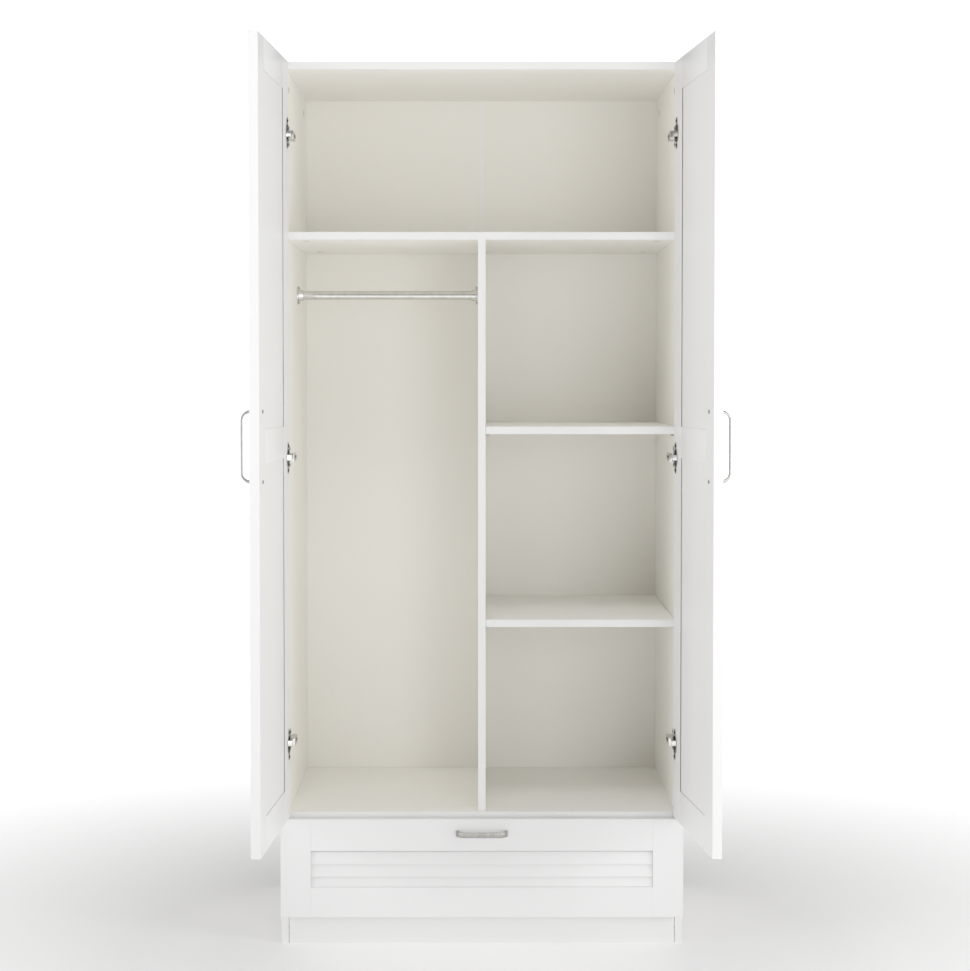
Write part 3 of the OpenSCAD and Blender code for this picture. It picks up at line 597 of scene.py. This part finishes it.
def rail_sockets(node):
    """Turned flanges with a rounded rim, a cove and a collar round the tube."""
    tube_low, tube_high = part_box("hanging_rail")
    bore = (tube_high.z - tube_low.z) / 2 + TUBE_PLAY
    bm = bmesh.new()
    for points in solids(node):
        low, high = extent(points)
        size = high - low
        middle = (low + high) / 2
        to_wall = -1 if middle.x < (tube_low.x + tube_high.x) / 2 else 1
        wall = middle.copy()
        wall.x = low.x if to_wall < 0 else high.x
        flange_r, height = size.z / 2, size.x
        plate, collar = 3 * MM, bore + 2.4 * MM
        profile = [(0, 0), (flange_r - 0.3 * MM, 0), (flange_r, 0.5 * MM), (flange_r, plate - 1.4 * MM),
                   (flange_r - 0.5 * MM, plate - 0.4 * MM), (flange_r - 1.5 * MM, plate),
                   (collar + 1.2 * MM, plate), (collar + 0.4 * MM, plate + 0.4 * MM),
                   (collar, plate + 1.2 * MM), (collar, height - 0.9 * MM),
                   (collar - 0.3 * MM, height - 0.2 * MM), (collar - 1 * MM, height),
                   (bore + 0.5 * MM, height), (bore, height - 0.5 * MM), (bore, plate), (0, plate)]
        add(bm, lathe(profile, 64), Matrix.Translation(wall) @ facing((-to_wall, 0, 0)))
    finished(bm, node)


# ---------------------------------------------------------------- handles

LEG_T = 7 * MM
BAR_T = 2.8 * MM
CORNER_R = 20 * MM
STRIP_EDGE_R = 1.1 * MM
FOOT_RINGS_MM = (0, 0.12, 0.6, 1.2)
BEND_STEPS = 12
STRIP_STEPS = 8


def handle_mesh(half_l, reach, width):
    """A bow handle along X that stands out to +Z: stout legs that run into a thin strip."""
    inner_r = CORNER_R - LEG_T
    outer, inner = [], []
    for z in FOOT_RINGS_MM:
        outer.append((half_l, z * MM))
        inner.append((half_l - LEG_T, z * MM))
    for i in range(BEND_STEPS + 1):
        a = math.pi / 2 * i / BEND_STEPS
        outer.append((half_l - CORNER_R + CORNER_R * math.cos(a),
                      reach - CORNER_R + CORNER_R * math.sin(a)))
        inner.append((half_l - LEG_T - inner_r + inner_r * math.cos(a),
                      reach - BAR_T - inner_r + inner_r * math.sin(a)))
    span = half_l - CORNER_R
    for i in range(1, STRIP_STEPS):
        x = span * (1 - i / STRIP_STEPS)
        outer.append((x, reach))
        inner.append((x, reach - BAR_T))
    half = list(zip(outer, inner))
    stations = half + [((0, reach), (0, reach - BAR_T))]
    stations += [((-o[0], o[1]), (-n[0], n[1])) for o, n in reversed(half)]
    bm = bmesh.new()
    rings = []
    for (ox, oz), (ix, iz) in stations:
        out = Vector((ox, 0, oz))
        inn = Vector((ix, 0, iz))
        thick = (out - inn).length
        edge = min(STRIP_EDGE_R, 0.45 * thick)
        corners = [(-width / 2, 0), (width / 2, 0), (width / 2, thick), (-width / 2, thick)]
        section = rounded(corners, edge)
        across = (out - inn).normalized()
        rings.append([bm.verts.new(inn + across * t + Vector((0, y, 0))) for y, t in section])
    for low, high in zip(rings, rings[1:]):
        count = len(low)
        for i in range(count):
            j = (i + 1) % count
            bm.faces.new((low[i], low[j], high[j], high[i]))
    bm.faces.new(rings[0])
    bm.faces.new(rings[-1])
    bmesh.ops.recalc_face_normals(bm, faces=bm.faces)
    return bm


def handle(node):
    """A handle stands out to -Y with its door closed; it runs along its longer side."""
    low, high = extent([p for points in solids(node) for p in points])
    size = high - low
    along = 2 if size.z > size.x else 0
    width = min(size.z, size.x)
    bm = handle_mesh(size[along] / 2, size.y, width)
    base = (low + high) / 2
    base.y = high.y
    run = Vector((0, 0, 1)) if along == 2 else Vector((1, 0, 0))
    out = Vector((0, -1, 0))
    side = out.cross(run)
    turn = Matrix((run, side, out)).transposed().to_4x4()
    bm.transform(Matrix.Translation(base) @ turn)
    finished(bm, node)


# ---------------------------------------------------------------- the pieces

BOARD_EDGE = 0.6 * MM
FRONT_EDGE = 1.0 * MM
SLAT_EDGE = 0.7 * MM
THIN_EDGE = 0.3 * MM
STEEL_EDGE = 0.25 * MM


def make_pieces():
    makers = {
        "cam_locks": cam_locks,
        "shelf_pins": shelf_pins,
        "hanging_rail": hanging_rail,
        "rail_sockets": rail_sockets,
    }
    kept_as_cad = ("cam_bolts", "left_hinge_pins", "right_hinge_pins")
    for node, slot in slot_of.items():
        if node in makers:
            makers[node](node)
        elif node in kept_as_cad:
            mesh = frame["nodes"][node].data
            mesh.materials.clear()
            mesh.materials.append(MATERIALS[slot])
        elif node.endswith("screws"):
            screws(node)
        elif node.endswith("handle"):
            handle(node)
        elif slot in ("satin_nickel", "zinc_steel"):
            soften(node, STEEL_EDGE, shortest=1 * MM)
        elif slot in ("thin_board", "white_plastic"):
            soften(node, THIN_EDGE)
        elif node.endswith("slats"):
            soften(node, SLAT_EDGE)
        elif slot == "white_paint":
            soften(node, FRONT_EDGE)
        else:
            soften(node, BOARD_EDGE)


# ---------------------------------------------------------------- floor and light

FLOOR_HALF = 14
FLOOR_TONE = (0.95, 0.95, 0.95)
FLOOR_GLOW_NEAR = 0.1
FLOOR_GLOW_FAR = 1.0
GLOW_FROM, GLOW_TO = 0.7, 2.2
BACKDROP_STRENGTH = 1.6
AMBIENT_STRENGTH = 0.07
TONE_GAMMA = 1.8


def make_floor():
    shader = Shader("floor")
    shader.bsdf.inputs["Base Color"].default_value = (*FLOOR_TONE, 1)
    shader.bsdf.inputs["Roughness"].default_value = 0.9
    shader.bsdf.inputs["Emission Color"].default_value = (1, 1, 1, 1)
    away = shader.node("ShaderNodeVectorMath")
    away.operation = "LENGTH"
    shader.link(shader.coords, away.inputs[0])
    glow = shader.ranged(away.outputs["Value"], FLOOR_GLOW_NEAR, FLOOR_GLOW_FAR, GLOW_FROM, GLOW_TO)
    shader.link(glow, shader.bsdf.inputs["Emission Strength"])
    bm = bmesh.new()
    bmesh.ops.create_grid(bm, x_segments=1, y_segments=1, size=FLOOR_HALF)
    mesh = bpy.data.meshes.new("floor")
    bm.to_mesh(mesh)
    bm.free()
    mesh.materials.append(shader.material)
    floor = bpy.data.objects.new("floor", mesh)
    bpy.context.scene.collection.objects.link(floor)


def area_light(name, at, target, size, power):
    data = bpy.data.lights.new(name, "AREA")
    data.shape = "RECTANGLE"
    data.size, data.size_y = size
    data.energy = power
    light = bpy.data.objects.new(name, data)
    light.location = at
    light.rotation_euler = (Vector(target) - Vector(at)).to_track_quat("-Z", "Y").to_euler()
    bpy.context.scene.collection.objects.link(light)


def make_lights():
    """A white backdrop, soft lights in front (the right one stronger), at both sides and above."""
    world = bpy.data.worlds.new("studio")
    world.use_nodes = True
    tree = world.node_tree
    ambient = tree.nodes["Background"]
    ambient.inputs["Strength"].default_value = AMBIENT_STRENGTH
    ambient.inputs["Color"].default_value = (1, 1, 1, 1)
    backdrop = tree.nodes.new("ShaderNodeBackground")
    backdrop.inputs["Color"].default_value = (1, 1, 1, 1)
    backdrop.inputs["Strength"].default_value = BACKDROP_STRENGTH
    seen = tree.nodes.new("ShaderNodeLightPath")
    either = tree.nodes.new("ShaderNodeMixShader")
    tree.links.new(seen.outputs["Is Camera Ray"], either.inputs[0])
    tree.links.new(ambient.outputs[0], either.inputs[1])
    tree.links.new(backdrop.outputs[0], either.inputs[2])
    tree.links.new(either.outputs[0], tree.nodes["World Output"].inputs["Surface"])
    bpy.context.scene.world = world
    area_light("right_front_softbox", (1.35, -5.5, 1.2), (0, 0, 1.0), (1.2, 2.0), 42)
    area_light("left_front_softbox", (-1.35, -5.5, 1.2), (0, 0, 1.0), (1.2, 2.0), 5)
    area_light("right_softbox", (3.4, -1.8, 1.3), (0, 0, 0.9), (1.5, 2.2), 50)
    area_light("left_softbox", (-3.4, -1.8, 1.3), (0, 0, 0.9), (1.5, 2.2), 51)
    area_light("right_strip", (1.25, -1.3, 1.0), (-0.3, 0.2, 1.0), (0.4, 1.8), 4.5)
    area_light("top_softbox", (0, -1.5, 3.0), (0, 0.2, 0.3), (1.6, 0.6), 13)


make_camera()
make_pieces()
make_floor()
make_lights()
bpy.context.scene.view_settings.view_transform = "Standard"
bpy.context.scene.view_settings.gamma = TONE_GAMMA
